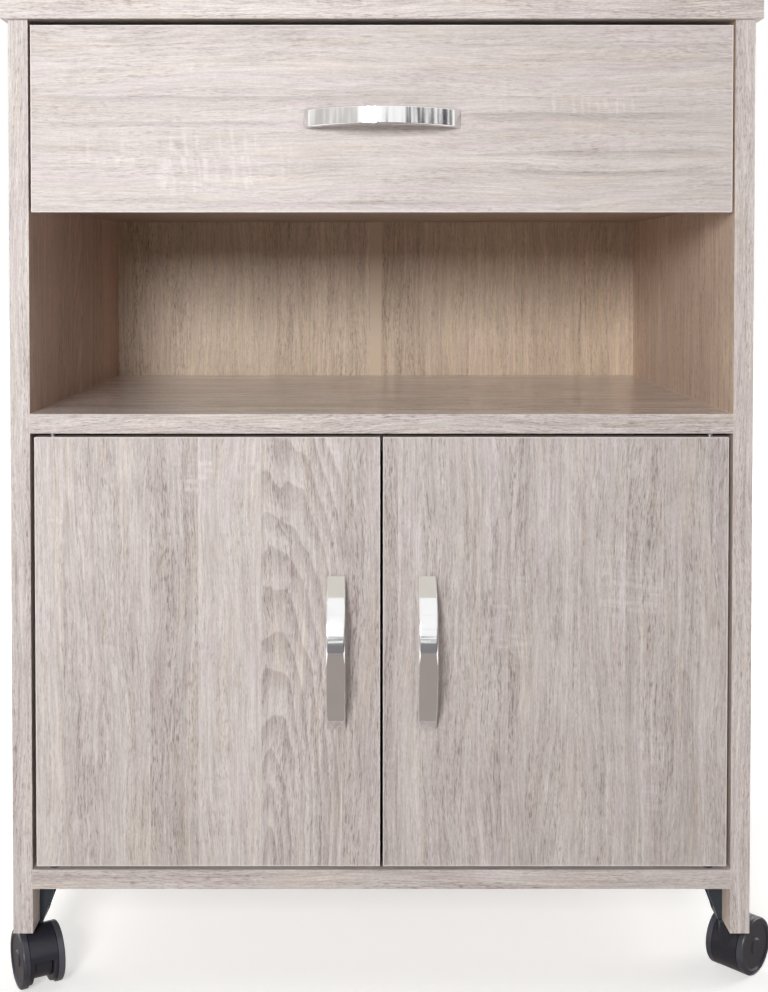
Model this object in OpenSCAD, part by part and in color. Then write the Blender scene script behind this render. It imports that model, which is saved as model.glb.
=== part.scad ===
// Microwave cart: a laminated-board carcass on four twin-wheel casters, with one
// drawer, an open microwave bay and a two-door cupboard with an inner shelf.
// Millimetres. +Z is up, +X is right and -Y is the front. The origin is on the floor
// under the middle of the cart.

/* [Carcass] */
// Width over the two side panels
body_w = 590; // [520:1:720]
// Depth of the side panels
side_d = 392; // [372:1:460]
// Thickness of the laminated boards
board_t = 15.5; // [14.5:0.5:19]
// How far the top stands out past the sides and the front
top_overhang = 5; // [0:1:25]
// Clear height of the cupboard
cupboard_h = 350.4; // [260:0.2:460]
// Clear height of the microwave bay
bay_h = 166.4; // [120:0.2:360]
// Clear height of the drawer's bay
drawer_bay_h = 130; // [118:1:180]
// How far the side panels reach down below the bottom board
leg_h = 36; // [34:1:60]
// Thickness of the two back sheets
back_t = 3; // [2.5:0.5:5]
// Flange thickness of the strip that joins the back sheets
strip_t = 1; // [0.8:0.1:1.5]
// Width of the strip that joins the back sheets
strip_w = 12.5; // [8:0.5:20]
// Thickness of the cupboard's inner shelf
inner_shelf_t = 12; // [9:0.5:16]
// How far the inner shelf's front edge lies behind the cart's front
inner_shelf_setback = 45; // [32:1:120]
// Play at each end of the inner shelf
inner_shelf_play = 0.6; // [0.3:0.1:2]

/* [Drawer] */
// Gap between the drawer front and each side panel
drawer_side_gap = 2; // [1:0.5:4]
// Gap between the drawer front and the top
drawer_top_gap = 4.3; // [1:0.1:6]
// How far the drawer front hangs down below its deck
drawer_drop = 6.2; // [0:0.2:12]
// Room between the drawer's back and the back sheets
box_rear_gap = 31.5; // [25:0.5:90]
// Height of the drawer's sides
box_h = 90; // [70:1:100]
// Thickness of the drawer's sides and back
box_t = 12; // [11:0.5:15]
// Height of the drawer's sides above the deck
box_lift = 8; // [4:0.5:12]
// Thickness of the drawer's bottom
box_floor_t = 3; // [2.5:0.5:5]
// Height of the drawer's bottom above the sides' lower edge
box_floor_up = 8; // [6:0.5:14]
// Depth of the grooves that hold the drawer's bottom
groove = 6; // [4:0.5:7]
// How far the drawer pulls out
drawer_travel = 290; // [200:1:290]

/* [Runners] */
// Room for a runner between the drawer and a side panel
runner_space = 12.5; // [12:0.1:14]
// Sheet thickness of the runners
runner_t = 1.2; // [1:0.1:1.5]
// Radius of the four runner rollers
roller_r = 8; // [7:0.5:9]
// Height of the cabinet runner's floor above the deck
runner_up = 14; // [11:0.5:16]
// Running gap over and under the rollers
roller_gap = 0.3; // [0.3:0.1:0.6]

/* [Doors] */
// Gap between a door and its side panel
door_side_gap = 3.4; // [2.5:0.1:6]
// Gap between the two doors
door_mid_gap = 2.4; // [1.5:0.1:5]
// Gap over the doors
door_top_gap = 2.9; // [1.5:0.1:5]
// Gap under the doors
door_low_gap = 3; // [2:0.1:5]
// Distance of a pivot pin from its door's outer edge
pivot_inset = 13.2; // [10:0.1:14]
// Radius of the pivot pins
pivot_r = 2.5; // [2:0.1:3.5]
// Depth of the pivot bushes in the boards
bush_deep = 9.6; // [8:0.2:11]
// Radius of the pivot bushes
bush_r = 4.3; // [4:0.1:6]
// How far the pins reach into the doors
pin_in_door = 25; // [15:1:40]
// Width of the double magnetic catch
catch_w = 43; // [38:1:60]
// Height of the double magnetic catch
catch_h = 14; // [10:1:20]
// Depth of the double magnetic catch
catch_d = 16; // [14:1:20]

/* [Handles] */
// Distance between the two ends of a handle, measured on the panel
handle_len = 118; // [112:1:150]
// How far a handle stands out
handle_out = 30; // [22:1:40]
// Width of the handle's strap
handle_w = 15; // [10:0.5:20]
// Thickness of the handle's strap
handle_t = 3.5; // [2.5:0.1:5]
// Distance between a handle's two screws
handle_pitch = 96; // [80:1:104]
// Radius of the posts behind a handle's strap
post_r = 4.5; // [3.5:0.1:6]
// Distance of a door handle from its door's free edge
handle_inset = 35; // [22:1:60]

/* [Casters] */
// Radius of the caster wheels
wheel_r = 23.2; // [21:0.1:30]
// Width over a caster's two wheels
caster_w = 34; // [30:0.5:44]
// Width of one wheel
wheel_w = 9; // [8:0.1:11]
// Width of a wheel's full-size rim
rim_w = 5.5; // [4.5:0.1:7]
// How far the axle lies behind the swivel stem
trail = 15; // [12:0.5:18]
// Radius of the swivel stem
stem_r = 3.5; // [3:0.1:4]
// How far the swivel stem reaches up into the side panel
stem_up = 36; // [25:1:45]
// Outer radius of the sleeve around the stem
sleeve_r = 5; // [4.6:0.1:5.5]
// Distance of the swivel stem from the front or back edge of the side panel
stem_in = 32; // [30:1:60]
// Swivel angles at rest: front left, front right, rear left, rear right
caster_turn = [28, 135, -42, 20];
// Gap between the wheels and the bracket's foot
wheel_gap = 1; // [0.9:0.1:3]
// Thickness of the bracket's foot
foot_t = 2.2; // [1.8:0.1:4]

/* [Brackets] */
// Length of a corner bracket along the side panel
bracket_l = 24; // [22:1:40]
// Distance of a corner bracket from the front or back edge
bracket_in = 24; // [20:1:40]
// Wall thickness of the corner brackets
bracket_t = 2.5; // [2:0.1:3.5]
// Length of the bracket's flange under the bottom board
flange_l = 22; // [18:1:32]
// Width of the gusset at its toe
gusset_toe = 4.6; // [3.5:0.1:8]
// Width of the gusset at its knee
gusset_knee = 11; // [8.5:0.5:14]

/* [Fasteners] */
// Radial play of a fastener in its hole
hole_play = 0.1; // [0.05:0.05:0.3]
// Radial play of a turning pin in its bearing
run_play = 0.05; // [0.03:0.01:0.1]
// Distance of the carcass screws from the front and back edges
screw_in = 60; // [50:1:90]
// Distance of the dowels from the front and back edges
dowel_in = 92; // [80:1:120]
// Number of nails down each side of the back
nail_count = 8; // [4:1:12]

/* [Hidden] */
$fn = 64;

// Colours
oak = "#cfc5bb";
oak_edge = "#c6bbb1";
back_brown = "#a89c91";
strip_beige = "#d8cdbb";
zinc = "#b9bcc0";
steel = "#a3a6aa";
chrome = "#d5d8dc";
nylon = "#e8e6e0";
birch = "#d9c39a";
caster_black = "#1c1c20";
bracket_grey = "#3c4247";
catch_grey = "#8d8f90";

// Heights, from the floor up
foot_z = 2 * wheel_r + wheel_gap;
leg_z = foot_z + foot_t;
bottom_z = leg_z + leg_h;
cupboard_z = bottom_z + board_t;
shelf_z = cupboard_z + cupboard_h;
bay_z = shelf_z + board_t;
deck_z = bay_z + bay_h;
drawer_z = deck_z + board_t;
top_z = drawer_z + drawer_bay_h;
cart_h = top_z + board_t;
inner_shelf_z = cupboard_z + (cupboard_h - inner_shelf_t) / 2;

// Widths and depths
half_w = body_w / 2;
inner_x = half_w - board_t;
mid_x = half_w - board_t / 2;
front_y = -(side_d + back_t + strip_t - handle_out) / 2;
back_y = front_y + side_d;
panel_back_y = front_y + board_t;
strip_play = 0.2;
board_back_y = back_y - strip_t - strip_play;
sheet_inset = 2;
sheet_gap = 0.4;
sheet_z = bottom_z + 1;
screw_ys = [front_y + screw_in, back_y - screw_in];
dowel_ys = [front_y + dowel_in, back_y - dowel_in];

// Drawer
deck_gap = 1.5;
deck_front_y = panel_back_y + deck_gap;
face_z = deck_z - drawer_drop;
face_h = top_z - drawer_top_gap - face_z;
face_w = 2 * (inner_x - drawer_side_gap);
box_x = inner_x - runner_space;
box_z = drawer_z + box_lift;
box_back_y = back_y - box_rear_gap;
box_l = box_back_y - panel_back_y;
box_floor_z = box_z + box_floor_up;
groove_play = 0.5;
box_joint_low = 22;
box_joint_high = 18;
box_joint_zs = [box_floor_z + box_joint_low, box_z + box_h - box_joint_high];
box_cam_in = 20;

// Runners, as distances from the side panel's inner face
channel_z = drawer_z + runner_up;
channel_front = 4;
channel_l = box_l + 5;
channel_y = panel_back_y + channel_front;
channel_w = runner_space - 2.1;
flange_x = runner_space - runner_t;
rail_z = channel_z + 2 * roller_r + 2 * roller_gap + 0.5;
rail_gap = 1;
channel_h = rail_z + runner_t + rail_gap + runner_t - channel_z;
rail_x = 3;
front_roller_in = 14;
rear_roller_in = 10;
front_roller_y = channel_y + front_roller_in;
front_roller_z = rail_z - roller_gap - roller_r;
rear_roller_y = box_back_y - rear_roller_in;
rear_roller_z = channel_z + roller_gap + roller_r;
roller_pin_r = 2;
roller_rivet_t = 0.4;
roller_x0 = rail_x - 0.4;
roller_x1 = channel_w - 0.3;
member_low = 5;
member_high = 12;
runner_screw_ys = [0.12, 0.5, 0.86];
member_screw_up = 6;

// Doors
door_w = inner_x - door_side_gap - door_mid_gap / 2;
door_z = cupboard_z + door_low_gap;
door_h = cupboard_h - door_low_gap - door_top_gap;
pivot_x = inner_x - door_side_gap - pivot_inset;
pivot_y = front_y + board_t / 2;
pin_end_play = 1.2;
bush_stand = door_low_gap - 0.4;
bush_hang = 0.6;
plate_t = 1.2;
plate_w = 18;
plate_h = 12;
plate_x = catch_w / 2 - plate_w / 2;
catch_gap = 0.5;
catch_y = panel_back_y + plate_t + catch_gap;

// Handles: an arc through both ends on the panel and the strap's inner middle
handle_rise = handle_out - handle_t;
handle_in_r = (pow(handle_len / 2, 2) + pow(handle_rise, 2)) / (2 * handle_rise);
handle_r = handle_in_r + handle_t;
handle_arc = asin(handle_len / 2 / handle_in_r);
handle_screw_r = 1.9;
handle_screw_deep = 7;
face_handle_z = face_z + face_h / 2;
door_handle_x = door_mid_gap / 2 + handle_inset;
door_handle_z = door_z + door_h / 2;

// Brackets
knee_drop = 15;
toe_up = 4.4;
foot_inset = 1;
foot_front = 2;

// Casters
axle_z = wheel_r;
axle_r = 2;
axle_end = 1.8;
axle_play = 0.3;
dish_in = 4;
dish_deep = 0.9;
hub_r = 5.5;
hood_wall = 1.2;
hood_play = 0.4;
hood_w = caster_w - 2 * rim_w - 1;
web_w = caster_w - 2 * wheel_w - 1.2;
web_low = 6;
neck_r = 8.5;
neck_gap = 0.6;
neck_z = foot_z - neck_gap;
hood_from = -54;
hood_to = 170;
rim_round = 1.5;
stem_low = axle_z + 4.2;
stem_end_play = 0.2;
stem_top_play = 1.5;

// Fasteners
screw_sunk = 0.3;
carcass_head_r = 4.75;
carcass_head_t = 2;
carcass_neck_r = 3.5;
carcass_screw_r = 2.5;
carcass_screw_l = 50;
cap_r = 6.5;
cap_t = 0.8;
screw_head_r = 3.2;
screw_head_t = 1.6;
flat_head_t = 0.8;
screw_r = 1.7;
shelf_pin_r = 2.5;
shelf_pin_l = 8;
pin_pitch = 32;
cam_r = 7.5;
cam_deep = 12.4;
cam_drop = 24;
cam_bolt_r = 3;
cam_bolt_up = 10.5;
nail_r = 0.9;
nail_l = 20;
nail_head_r = 2.4;
nail_head_t = 0.6;
nail_end = 20;
nail_spread = [0.32, 0.7];
dowel_r = 4;
dowel_down = 20;
dowel_up = 10;
pin_front = 30;
pin_rear = 50;
bracket_screw_in = 6.5;
bracket_screw_up = [10, 23];
flange_screw_in = 7;
flange_screw_l = 12;
bracket_screw_l = 11;
runner_screw_l = 11;
member_screw_l = 10;
catch_screw_in = 4.5;
box_bolt_r = 2.2;
box_bolt_in = 9;
box_disc_r = 5;
box_disc_l = 9.5;
box_screw_r = 2;
box_screw_l = 34;
box_head_r = 3.6;
box_head_t = 1.5;

// ---------------------------------------------------------------- helpers

// A board between two corners
module board(low, high) {
    translate(low) cube(high - low);
}

// Round bars along each axis, starting at a point
module rod_x(r, from, length) {
    translate(from) rotate([0, 90, 0]) cylinder(r = r, h = length);
}

module rod_y(r, from, length) {
    translate(from) rotate([-90, 0, 0]) cylinder(r = r, h = length);
}

module rod_z(r, from, length) {
    translate(from) cylinder(r = r, h = length);
}

// The children as drawn on the left, and mirrored to the right
module both_sides() {
    children();
    mirror([1, 0, 0]) children();
}

// The children as drawn at the front, and mirrored to the back
module both_ends() {
    children();
    translate([0, front_y + back_y, 0]) mirror([0, 1, 0]) children();
}

// ------------------------------------------------ fasteners and their holes
// Each shape takes the play by which it grows when it cuts its own hole.

// Shouldered screws through the left side panel into the ends of three boards
module left_carcass_screws(play) {
    for (y = screw_ys, z = [bottom_z, shelf_z, deck_z]) {
        sunk = play > 0 ? 0 : screw_sunk;
        at = [-half_w + sunk, y, z + board_t / 2];
        rod_x(carcass_head_r + play, at, carcass_head_t + screw_sunk - sunk);
        rod_x(carcass_neck_r + play, at, board_t - sunk);
        rod_x(carcass_screw_r + play, at, carcass_screw_l + play - sunk);
    }
}

// Cam bolts in the top, reaching down into discs in the left side panel
module left_cam_bolts(play) {
    for (y = screw_ys)
        rod_z(cam_bolt_r + play, [-mid_x, y, top_z - cam_drop - play],
            cam_drop + cam_bolt_up + 2 * play);
}

module left_cam_discs(play) {
    for (y = screw_ys)
        rod_x(cam_r + play, [-inner_x - cam_deep - play, y, top_z - cam_drop],
            cam_deep + play);
}

module left_dowels(play) {
    for (y = dowel_ys)
        rod_z(dowel_r + play, [-mid_x, y, top_z - dowel_down - play],
            dowel_down + dowel_up + 2 * play);
}

// Support pins of the inner shelf, at one height or at all three drilled heights
module left_shelf_pins(play, heights) {
    for (y = [front_y + inner_shelf_setback + pin_front, back_y - pin_rear], k = heights)
        rod_x(shelf_pin_r + play,
            [-inner_x - shelf_pin_l - play, y,
                inner_shelf_z - shelf_pin_r - 0.05 + k * pin_pitch],
            shelf_pin_l + play + (play > 0 ? 0 : shelf_pin_l));
}

// Nails through the back sheets into the side panels and the boards' back edges
module nail(at, play) {
    rod_y(nail_r + play, at - [0, nail_l + play, 0], nail_l + play);
    if (play == 0) rod_y(nail_head_r, at, nail_head_t);
}

module left_back_nails(play) {
    rear_y = back_y + back_t;
    first_z = bottom_z + nail_end;
    step = (top_z - nail_end - first_z) / (nail_count - 1);
    for (k = [0 : nail_count - 1])
        nail([-mid_x, rear_y, first_z + k * step], play);
    for (z = [bottom_z, shelf_z, deck_z], x = nail_spread * inner_x)
        nail([-x, rear_y, z + board_t / 2], play);
}

// A short screw with a round head, driven along +Z
module short_screw(length, play) {
    rod_z(screw_r + play, [0, 0, 0], length + play);
    if (play == 0) rod_z(screw_head_r, [0, 0, -screw_head_t], screw_head_t);
}

// Screws that hold the left cabinet runner on its side panel
module left_runner_screws(play) {
    for (f = runner_screw_ys)
        translate([-inner_x + runner_t, channel_y + f * channel_l,
            (channel_z + rail_z) / 2])
            rotate([0, -90, 0]) flat_screw(runner_screw_l + runner_t, play);
}

// A screw with a flat head that stays clear of the passing rollers, driven along +Z
module flat_screw(length, play) {
    rod_z(screw_r + play, [0, 0, 0], length + play);
    if (play == 0) rod_z(screw_head_r - 0.4, [0, 0, -flat_head_t], flat_head_t);
}

// Screws that hold the front left corner bracket
module left_bracket_screws(play) {
    side_y = front_y + bracket_in + bracket_l - bracket_screw_in;
    for (up = bracket_screw_up)
        translate([-inner_x + bracket_t, side_y, leg_z + up])
            rotate([0, -90, 0]) short_screw(bracket_screw_l, play);
    translate([-inner_x + flange_l - flange_screw_in, front_y + bracket_in + bracket_l / 2,
        bottom_z - bracket_t])
        short_screw(flange_screw_l, play);
}

// Screws that hold the magnetic catch under the middle shelf
module catch_screws(play) {
    for (y = [catch_screw_in, catch_d - catch_screw_in])
        translate([0, catch_y + y, shelf_z - catch_h]) short_screw(catch_h + 9, play);
}

// Pivot bushes of the left door: one in the bottom board, one in the middle shelf
module left_bushes(play) {
    rod_z(bush_r + play, [-pivot_x, pivot_y, cupboard_z - bush_deep - play],
        bush_deep + play + (play > 0 ? 0.01 : bush_stand));
    rod_z(bush_r + play, [-pivot_x, pivot_y, shelf_z - (play > 0 ? 0.01 : bush_hang)],
        bush_deep + play + (play > 0 ? 0.01 : bush_hang));
}

// Room in the panel for the sleeve of the front left caster
module left_sleeve(play) {
    rod_z(sleeve_r + play, [-mid_x, front_y + stem_in, leg_z - 0.01],
        stem_up + stem_top_play + play);
}

// --------------------------------------------------------------- the carcass

module top_panel() {
    color(oak) difference() {
        board([-half_w - top_overhang, front_y - top_overhang, top_z],
            [half_w + top_overhang, back_y + back_t, cart_h]);
        both_sides() {
            left_cam_bolts(hole_play);
            left_dowels(hole_play);
        }
    }
}

module side_panel() {
    color(oak) difference() {
        board([-half_w, front_y, leg_z], [-inner_x, back_y, top_z]);
        left_carcass_screws(hole_play);
        left_cam_bolts(hole_play);
        left_cam_discs(hole_play);
        left_dowels(hole_play);
        left_shelf_pins(hole_play, [-1, 0, 1]);
        left_back_nails(hole_play);
        left_runner_screws(hole_play);
        both_ends() {
            left_bracket_screws(hole_play);
            left_sleeve(hole_play);
        }
    }
}

module left_side_panel() {
    side_panel();
}

module right_side_panel() {
    mirror([1, 0, 0]) side_panel();
}

module bottom_panel() {
    color(oak) difference() {
        board([-inner_x, front_y, bottom_z], [inner_x, board_back_y, cupboard_z]);
        both_sides() {
            left_carcass_screws(hole_play);
            left_back_nails(hole_play);
            left_bushes(hole_play);
            both_ends() left_bracket_screws(hole_play);
        }
    }
}

module middle_shelf() {
    color(oak) difference() {
        board([-inner_x, front_y, shelf_z], [inner_x, board_back_y, bay_z]);
        both_sides() {
            left_carcass_screws(hole_play);
            left_back_nails(hole_play);
            left_bushes(hole_play);
        }
        catch_screws(hole_play);
    }
}

module drawer_deck() {
    color(oak) difference() {
        board([-inner_x, deck_front_y, deck_z], [inner_x, board_back_y, drawer_z]);
        both_sides() {
            left_carcass_screws(hole_play);
            left_back_nails(hole_play);
        }
    }
}

module inner_shelf() {
    color(oak)
        board([-inner_x + inner_shelf_play, front_y + inner_shelf_setback, inner_shelf_z],
            [inner_x - inner_shelf_play, board_back_y, inner_shelf_z + inner_shelf_t]);
}

module back_sheet_left() {
    color(back_brown) difference() {
        board([-half_w + sheet_inset, back_y, sheet_z],
            [-strip_t / 2 - sheet_gap, back_y + back_t, top_z]);
        left_back_nails(hole_play);
    }
}

module back_sheet_right() {
    mirror([1, 0, 0]) back_sheet_left();
}

// H-shaped strip between the two back sheets
module back_joint_strip() {
    color(strip_beige) {
        for (y = [back_y - strip_t, back_y + back_t])
            board([-strip_w / 2, y, sheet_z], [strip_w / 2, y + strip_t, top_z]);
        board([-strip_t / 2, back_y, sheet_z], [strip_t / 2, back_y + back_t, top_z]);
    }
}

module shelf_pins() {
    color(zinc) both_sides() left_shelf_pins(0, [0]);
}

module carcass_screws() {
    color(zinc) both_sides() left_carcass_screws(0);
}

// Thin caps over the carcass screws' heads
module screw_caps() {
    color(oak_edge) both_sides()
        for (y = screw_ys, z = [bottom_z, shelf_z, deck_z])
            rod_x(cap_r, [-half_w - cap_t, y, z + board_t / 2], cap_t);
}

module cam_locks() {
    color(zinc) both_sides() {
        difference() {
            left_cam_discs(0);
            left_cam_bolts(hole_play);
        }
        left_cam_bolts(0);
    }
}

module wood_dowels() {
    color(birch) both_sides() left_dowels(0);
}

module back_nails() {
    color(steel) both_sides() left_back_nails(0);
}

// C-shaped channel on the left side panel, with the front roller's pin
module left_cabinet_runner() {
    difference() {
        union() {
            board([-inner_x, channel_y, channel_z - runner_t],
                [-inner_x + runner_t, channel_y + channel_l, channel_z + channel_h]);
            for (z = [channel_z - runner_t, channel_z + channel_h - runner_t])
                board([-inner_x, channel_y, z],
                    [-inner_x + channel_w, channel_y + channel_l, z + runner_t]);
        }
        left_runner_screws(hole_play);
    }
    rod_x(roller_pin_r, [-inner_x + runner_t, front_roller_y, front_roller_z],
        channel_w - runner_t);
    rod_x(roller_pin_r + 1, [-inner_x + channel_w, front_roller_y, front_roller_z],
        roller_rivet_t);
}

module cabinet_runners() {
    color(zinc) both_sides() left_cabinet_runner();
}

// Roller with a rounded tread, its bore along X
module roller(at, length) {
    edge = 1;
    translate(at) rotate([0, 90, 0]) rotate_extrude() polygon([
        [roller_pin_r + run_play, 0], [roller_r - edge, 0], [roller_r, edge],
        [roller_r, length - edge], [roller_r - edge, length],
        [roller_pin_r + run_play, length]]);
}

module cabinet_rollers() {
    color(nylon) both_sides()
        roller([-inner_x + roller_x0, front_roller_y, front_roller_z],
            roller_x1 - roller_x0);
}

// Housing of the double magnetic catch, open at the front for its two magnets
module magnetic_catch() {
    color(catch_grey) difference() {
        board([-catch_w / 2, catch_y, shelf_z - catch_h],
            [catch_w / 2, catch_y + catch_d, shelf_z]);
        magnet_pair(0.15);
        catch_screws(hole_play);
    }
}

module magnet_pair(play) {
    both_sides()
        board([-catch_w / 2 + 2.5 - play, catch_y - play, shelf_z - catch_h + 3 - play],
            [-5 + play, catch_y + 9 + play, shelf_z - 3 + play]);
}

module catch_magnets() {
    color(steel) magnet_pair(0);
}

module pivot_bushes() {
    color(bracket_grey) both_sides() difference() {
        left_bushes(0);
        rod_z(pivot_r + run_play, [-pivot_x, pivot_y, cupboard_z - bush_deep - 1],
            shelf_z - cupboard_z + 2 * bush_deep + 2);
    }
}

// Corner bracket with a foot under the side panel, a flange under the bottom board and
// two gussets whose edge runs from the toe to the knee and then curves to the flange
module left_bracket() {
    front = front_y + bracket_in;
    back = front + bracket_l;
    knee_z = bottom_z - knee_drop;
    flange_z = bottom_z - bracket_t;
    curve = [for (a = [0 : 15 : 90])
        [gusset_knee + (flange_l - gusset_knee) * (1 - cos(a)),
            knee_z + (flange_z - knee_z) * sin(a)]];
    difference() {
        union() {
            board([-inner_x, front, foot_z], [-inner_x + bracket_t, back, bottom_z]);
            board([-half_w + foot_inset, front - foot_front, foot_z],
                [-inner_x + bracket_t, back, leg_z]);
            board([-inner_x, front, flange_z], [-inner_x + flange_l, back, bottom_z]);
            for (y = [front, back - bracket_t])
                translate([-inner_x, y + bracket_t, 0]) rotate([90, 0, 0])
                    linear_extrude(bracket_t)
                        polygon(concat([[0, foot_z], [bracket_t, foot_z],
                            [gusset_toe, leg_z + toe_up]], curve, [[0, flange_z]]));
        }
        rod_z(stem_r + 0.7, [-mid_x, front_y + stem_in, foot_z - 1], foot_t + 2);
        left_bracket_screws(hole_play);
    }
}

module corner_brackets() {
    color(bracket_grey) both_sides() both_ends() left_bracket();
}

module caster_sleeves() {
    color(nylon) both_sides() both_ends() difference() {
        rod_z(sleeve_r, [-mid_x, front_y + stem_in, leg_z], stem_up + stem_top_play);
        rod_z(stem_r + run_play, [-mid_x, front_y + stem_in, leg_z - 1],
            stem_up + stem_top_play);
    }
}

module mounting_screws() {
    color(steel) {
        both_sides() left_runner_screws(0);
        both_sides() both_ends() left_bracket_screws(0);
        catch_screws(0);
    }
}

// ---------------------------------------------------------------- the drawer

// Bolts from the drawer front into the sides, and the discs that draw them tight
module left_drawer_bolts(play) {
    for (z = box_joint_zs)
        rod_y(box_bolt_r + play, [-box_x + box_t / 2, panel_back_y - box_bolt_in - play, z],
            box_bolt_in + box_cam_in + 2 * play);
}

module left_drawer_discs(play) {
    for (z = box_joint_zs)
        rod_x(box_disc_r + play,
            [-box_x + box_t - box_disc_l - play, panel_back_y + box_cam_in, z],
            box_disc_l + play);
}

// Screws through the drawer's left side into the drawer's back
module left_drawer_screws(play) {
    for (z = box_joint_zs) {
        sunk = play > 0 ? 0 : screw_sunk;
        at = [-box_x + sunk, box_back_y - box_t / 2, z];
        rod_x(box_head_r + play, at, box_head_t + screw_sunk - sunk);
        rod_x(box_screw_r + play, at, box_screw_l + play - sunk);
    }
}

// Screws through the drawer's left runner into the drawer's side
module left_member_screws(play) {
    for (f = runner_screw_ys)
        translate([-inner_x + flange_x, panel_back_y + f * box_l,
            rail_z + runner_t + rail_gap + member_screw_up])
            rotate([0, 90, 0]) flat_screw(member_screw_l, play);
}

module drawer_front() {
    color(oak) difference() {
        board([-face_w / 2, front_y, face_z], [face_w / 2, panel_back_y, face_z + face_h]);
        board([-box_x + box_t - groove, panel_back_y - groove, box_floor_z],
            [box_x - box_t + groove, panel_back_y + 1, box_floor_z + box_floor_t]);
        both_sides() left_drawer_bolts(hole_play);
        at_drawer_handle() handle_screws(hole_play);
    }
}

module drawer_left_side() {
    color(oak) difference() {
        board([-box_x, panel_back_y, box_z], [-box_x + box_t, box_back_y, box_z + box_h]);
        board([-box_x + box_t - groove, panel_back_y - 1, box_floor_z],
            [-box_x + box_t + 1, box_back_y + 1, box_floor_z + box_floor_t]);
        left_drawer_bolts(hole_play);
        left_drawer_discs(hole_play);
        left_drawer_screws(hole_play);
        left_member_screws(hole_play);
    }
}

module drawer_right_side() {
    mirror([1, 0, 0]) drawer_left_side();
}

module drawer_back() {
    color(oak) difference() {
        board([-box_x + box_t, box_back_y - box_t, box_floor_z + box_floor_t],
            [box_x - box_t, box_back_y, box_z + box_h]);
        both_sides() left_drawer_screws(hole_play);
    }
}

module drawer_floor() {
    half = box_x - box_t + groove - groove_play;
    color(back_brown)
        board([-half, panel_back_y - groove + groove_play, box_floor_z],
            [half, box_back_y, box_floor_z + box_floor_t]);
}

// Angle on the drawer's left side: a rail over the front roller, and the rear roller's
// pin on the same sheet
module left_drawer_runner() {
    x = -inner_x + flange_x;
    difference() {
        union() {
            board([x, panel_back_y + 1, channel_z + member_low],
                [x + runner_t, box_back_y, rail_z + runner_t + member_high]);
            board([-inner_x + rail_x, panel_back_y + 1, rail_z],
                [x, box_back_y, rail_z + runner_t]);
        }
        left_member_screws(hole_play);
    }
    rod_x(roller_pin_r, [-inner_x + roller_x0, rear_roller_y, rear_roller_z],
        flange_x - roller_x0);
}

module drawer_runners() {
    color(zinc) both_sides() left_drawer_runner();
}

module drawer_rollers() {
    color(nylon) both_sides()
        roller([-inner_x + roller_x0, rear_roller_y, rear_roller_z],
            flange_x - 0.4 - roller_x0);
}

module drawer_cams() {
    color(zinc) both_sides() {
        difference() {
            left_drawer_discs(0);
            left_drawer_bolts(hole_play);
        }
        left_drawer_bolts(0);
    }
}

module drawer_screws() {
    color(steel) {
        both_sides() {
            left_drawer_screws(0);
            left_member_screws(0);
        }
        at_drawer_handle() handle_screws(0);
    }
}

// --------------------------------------------------------------- the handles
// A handle is drawn lying along X on a panel whose face is at y = 0, bowed to -Y.

module handle() {
    round_r = handle_t / 2 - 0.25;
    color(chrome) difference() {
        union() {
            translate([0, handle_r - handle_out, 0]) rotate([0, 0, -90 - handle_arc])
                rotate_extrude(angle = 2 * handle_arc, $fn = 180)
                    translate([handle_in_r, -handle_w / 2])
                        rounded_bar([handle_t, handle_w], round_r);
            intersection() {
                for (s = [-1, 1])
                    rod_y(post_r, [s * handle_pitch / 2, -handle_out, 0], handle_out);
                translate([0, handle_r - handle_out, -handle_w])
                    cylinder(r = handle_in_r + handle_t / 2, h = 2 * handle_w, $fn = 180);
            }
        }
        board([-handle_len, 0, -handle_w], [handle_len, handle_out, handle_w]);
        for (s = [-1, 1])
            rod_y(handle_screw_r + hole_play,
                [s * handle_pitch / 2, -handle_screw_deep - 0.5, 0], handle_out);
    }
}

// A flat bar's section with quarter-round corners
module rounded_bar(size, r) {
    translate([r, 0]) square([size[0] - 2 * r, size[1]]);
    translate([0, r]) square([size[0], size[1] - 2 * r]);
    for (x = [r, size[0] - r], y = [r, size[1] - r])
        translate([x, y]) circle(r = r, $fn = 32);
}

// Two screws through a panel into the handle's posts
module handle_screws(play) {
    for (s = [-1, 1]) {
        rod_y(handle_screw_r + play, [s * handle_pitch / 2, -handle_screw_deep, 0],
            handle_screw_deep + board_t + play);
        if (play == 0)
            rod_y(4, [s * handle_pitch / 2, board_t, 0], 2.2);
    }
}

module at_drawer_handle() {
    translate([0, front_y, face_handle_z]) children();
}

module at_left_door_handle() {
    translate([-door_handle_x, front_y, door_handle_z]) rotate([0, 90, 0]) children();
}

module drawer_handle() {
    at_drawer_handle() handle();
}

module left_door_handle() {
    at_left_door_handle() handle();
}

module right_door_handle() {
    mirror([1, 0, 0]) left_door_handle();
}

// ----------------------------------------------------------------- the doors

module left_pins(play) {
    low_z = cupboard_z - bush_deep + pin_end_play;
    high_z = shelf_z + bush_deep - pin_end_play;
    rod_z(pivot_r + play, [-pivot_x, pivot_y, low_z],
        door_z + pin_in_door + play - low_z);
    rod_z(pivot_r + play, [-pivot_x, pivot_y, door_z + door_h - pin_in_door - play],
        high_z - (door_z + door_h - pin_in_door - play));
}

// Screw through the strike plate into the door's back
module left_plate_screw(play) {
    translate([-plate_x - door_mid_gap / 2, panel_back_y + plate_t - 0.1,
        door_z + door_h - plate_h / 2 - 1])
        rotate([90, 0, 0]) rod_z(1.6 + play, [0, 0, 0], 10 + play);
}

module left_door() {
    color(oak) difference() {
        board([-inner_x + door_side_gap, front_y, door_z],
            [-door_mid_gap / 2, panel_back_y, door_z + door_h]);
        left_pins(hole_play);
        left_plate_screw(hole_play);
        at_left_door_handle() handle_screws(hole_play);
    }
}

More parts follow.
